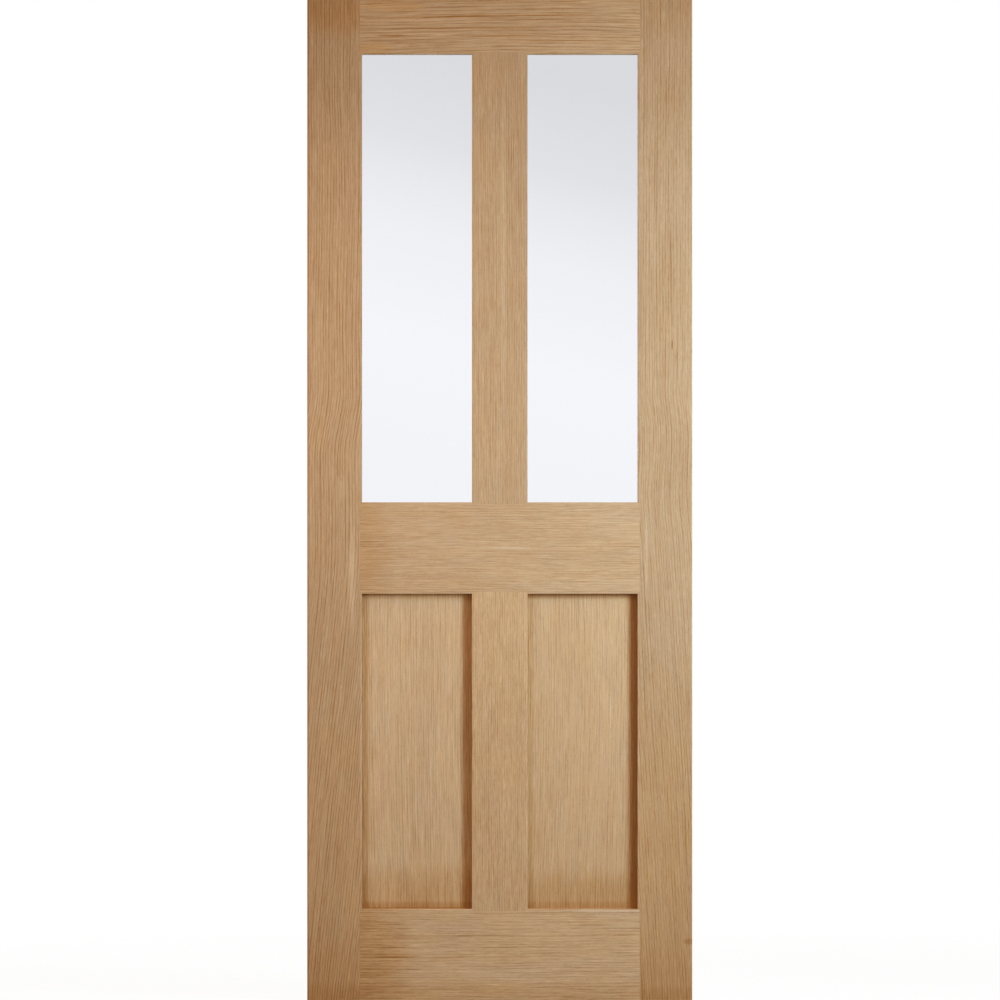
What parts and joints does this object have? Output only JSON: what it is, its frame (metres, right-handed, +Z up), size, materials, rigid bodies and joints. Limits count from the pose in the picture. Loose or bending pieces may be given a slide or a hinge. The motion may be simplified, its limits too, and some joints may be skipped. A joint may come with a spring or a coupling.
{
  "type": "glazed interior door",
  "caption": "Oak interior door leaf with clear tall panes side by side over flat recessed panels, for hanging in a standard lining.",
  "frame": {"origin": "on the flat hinge edge of the leaf, at its bottom and in the middle of its thickness", "axes": "+X across the leaf from the hinge edge to the closing edge, +Y from the front face to the beaded back face, +Z up"},
  "size_m": [0.762, 0.035, 1.981],
  "materials": {
    "oak_face": "satin",
    "oak_lipping": "satin",
    "oak_panel": "satin",
    "oak_bead": "satin",
    "clear_glass": "polished",
    "glazing_seal": "matte"
  },
  "bodies": {
    "root": {"left_stile": "oak_face", "right_stile": "oak_face", "top_rail": "oak_face", "middle_rail": "oak_face", "bottom_rail": "oak_face", "upper_muntin": "oak_face", "lower_muntin": "oak_face", "left_edge_lipping": "oak_lipping", "right_edge_lipping": "oak_lipping", "left_panel": "oak_panel", "right_panel": "oak_panel", "left_pane": "clear_glass", "right_pane": "clear_glass", "left_pane_front_seal": "glazing_seal", "left_pane_back_seal": "glazing_seal", "right_pane_front_seal": "glazing_seal", "right_pane_back_seal": "glazing_seal", "left_pane_bottom_bead": "oak_bead", "left_pane_right_bead": "oak_bead", "left_pane_top_bead": "oak_bead", "left_pane_left_bead": "oak_bead", "right_pane_bottom_bead": "oak_bead", "right_pane_right_bead": "oak_bead", "right_pane_top_bead": "oak_bead", "right_pane_left_bead": "oak_bead"}
  },
  "joints": []
}
